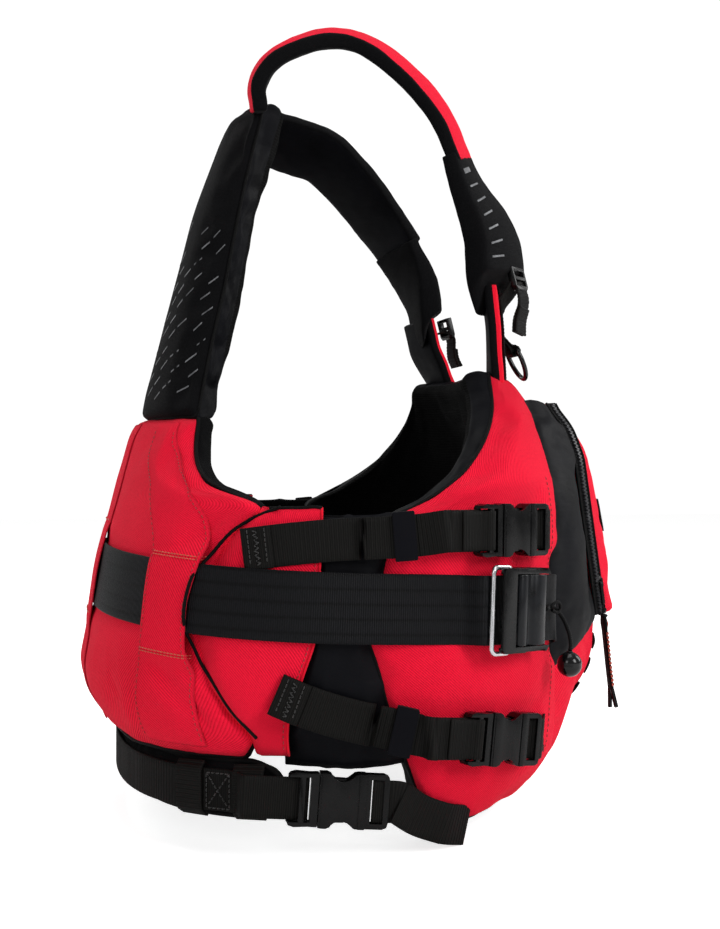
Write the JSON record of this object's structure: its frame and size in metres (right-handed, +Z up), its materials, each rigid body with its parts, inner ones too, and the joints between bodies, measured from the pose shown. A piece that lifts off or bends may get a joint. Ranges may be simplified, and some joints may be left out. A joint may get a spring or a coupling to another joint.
{
  "type": "life jacket",
  "caption": "Pullover rescue life jacket with foam front and back pads, shoulder straps, a quick-release harness belt, side-release straps, a zipped chest pocket and a waist belt.",
  "frame": {"origin": "midway between the shoulder straps, level with the underside of the right strap's highest point", "axes": "+Z up, -Y the wearer's front, +X the wearer's left"},
  "size_m": [0.4428, 0.4532, 0.6371],
  "materials": {
    "red_fabric": "matte coated weave",
    "black_fabric": "satin weave",
    "black_webbing": "ribbed, slight sheen",
    "black_cord": "braided",
    "zip_tape": "moulded teeth on tape",
    "black_plastic": "fine-grained moulding",
    "steel": "polished"
  },
  "bodies": {
    "jacket": {"back_pad": "red_fabric", "yoke_pad": "black_fabric", "spine_cover": "red_fabric", "tunnel_right": "red_fabric", "side_wing_right": "red_fabric", "under_arm_right": "black_fabric", "tunnel_left": "red_fabric", "side_wing_left": "red_fabric", "under_arm_left": "black_fabric", "front_pad": "red_fabric", "pocket_gusset": "black_fabric", "lower_pocket": "red_fabric", "pocket_face": "red_fabric", "zip_right": "zip_tape", "zip_left": "zip_tape", "shoulder_strap_right": "red_fabric", "strap_pad_right": "black_fabric", "front_web_right": "black_fabric", "strap_tail_right": "black_webbing", "shoulder_strap_left": "red_fabric", "strap_pad_left": "black_fabric", "front_web_left": "black_fabric", "strap_tail_left": "black_webbing", "ring_loop": "black_webbing", "harness_belt": "black_webbing", "cam_frame": "steel", "cam_body": "black_plastic", "cam_anchor": "black_webbing", "side_strap_upper_right": "black_webbing", "side_strap_lower_right": "black_webbing", "side_strap_upper_left": "black_webbing", "side_strap_lower_left": "black_webbing", "female_upper_right": "black_plastic", "female_lower_right": "black_plastic", "female_upper_left": "black_plastic", "female_lower_left": "black_plastic", "waist_pad": "black_fabric", "waist_web": "black_webbing", "female_waist_right": "black_plastic", "waist_front_right": "black_webbing", "female_waist_left": "black_plastic", "waist_front_left": "black_webbing"},
    "slider": {"zip_slider": "black_plastic"},
    "pull": {"zip_pull": "black_plastic", "pull_tab": "black_webbing"},
    "lever": {"cam_lever": "black_plastic", "toggle_cord": "black_cord", "toggle_ball": "black_plastic"},
    "chest_ring": {"ring": "black_plastic"},
    "male_upper_right": {"male_upper_right": "black_plastic"},
    "keeper_upper_right": {"keeper_upper_right": "black_webbing"},
    "male_lower_right": {"male_lower_right": "black_plastic"},
    "keeper_lower_right": {"keeper_lower_right": "black_webbing"},
    "male_waist_right": {"male_waist_right": "black_plastic"},
    "male_upper_left": {"male_upper_left": "black_plastic"},
    "keeper_upper_left": {"keeper_upper_left": "black_webbing"},
    "male_lower_left": {"male_lower_left": "black_plastic"},
    "keeper_lower_left": {"keeper_lower_left": "black_webbing"},
    "male_waist_left": {"male_waist_left": "black_plastic"}
  },
  "joints": [
    {"name": "male_upper_right_slide", "type": "slide", "parent": "jacket", "child": "male_upper_right", "axis": [-0.4774, 0.8785, 0.0175], "range_m": [0, 0.022], "deforming": ["side_strap_upper_right"]},
    {"name": "male_lower_right_slide", "type": "slide", "parent": "jacket", "child": "male_lower_right", "axis": [-0.4228, 0.898, 0.1219], "range_m": [0, 0.022], "deforming": ["side_strap_lower_right"]},
    {"name": "male_waist_right_slide", "type": "slide", "parent": "jacket", "child": "male_waist_right", "axis": [0.0699, 0.9951, 0.0698], "range_m": [0, 0.022], "deforming": ["waist_web"]},
    {"name": "keeper_upper_right_slide", "type": "slide", "parent": "jacket", "child": "keeper_upper_right", "axis": [0.2103, 0.9744, -0.0791], "range_m": [-0.005, 0.005]},
    {"name": "keeper_lower_right_slide", "type": "slide", "parent": "jacket", "child": "keeper_lower_right", "axis": [0.2003, 0.9547, 0.2199], "range_m": [-0.005, 0.005]},
    {"name": "male_upper_left_slide", "type": "slide", "parent": "jacket", "child": "male_upper_left", "axis": [0.4774, 0.8785, 0.0175], "range_m": [0, 0.022], "deforming": ["side_strap_upper_left"]},
    {"name": "male_lower_left_slide", "type": "slide", "parent": "jacket", "child": "male_lower_left", "axis": [0.4228, 0.898, 0.1219], "range_m": [0, 0.022], "deforming": ["side_strap_lower_left"]},
    {"name": "male_waist_left_slide", "type": "slide", "parent": "jacket", "child": "male_waist_left", "axis": [-0.0699, 0.9951, 0.0698], "range_m": [0, 0.022], "deforming": ["waist_web"]},
    {"name": "keeper_upper_left_slide", "type": "slide", "parent": "jacket", "child": "keeper_upper_left", "axis": [-0.2103, 0.9744, -0.0791], "range_m": [-0.005, 0.005]},
    {"name": "keeper_lower_left_slide", "type": "slide", "parent": "jacket", "child": "keeper_lower_left", "axis": [-0.2003, 0.9547, 0.2199], "range_m": [-0.005, 0.005]},
    {"name": "zip_slide", "type": "slide", "parent": "jacket", "child": "slider", "axis": [0.0225, 0.1351, 0.9906], "range_m": [0, 0.095]},
    {"name": "pull_swing", "type": "hinge", "parent": "slider", "child": "pull", "pos_m": [-0.0614, -0.22664, -0.43554], "axis": [-0.9997, 0, 0.0227], "range_deg": [0, 150]},
    {"name": "cam_lever_hinge", "type": "hinge", "parent": "jacket", "child": "lever", "pos_m": [-0.19699, -0.11002, -0.44211], "axis": [-0.0297, 0.0431, -0.9986], "range_deg": [0, 80]},
    {"name": "ring_swing", "type": "hinge", "parent": "jacket", "child": "chest_ring", "pos_m": [-0.07, -0.147, -0.243], "axis": [-1, 0, 0], "range_deg": [-4, 80]}
  ]
}
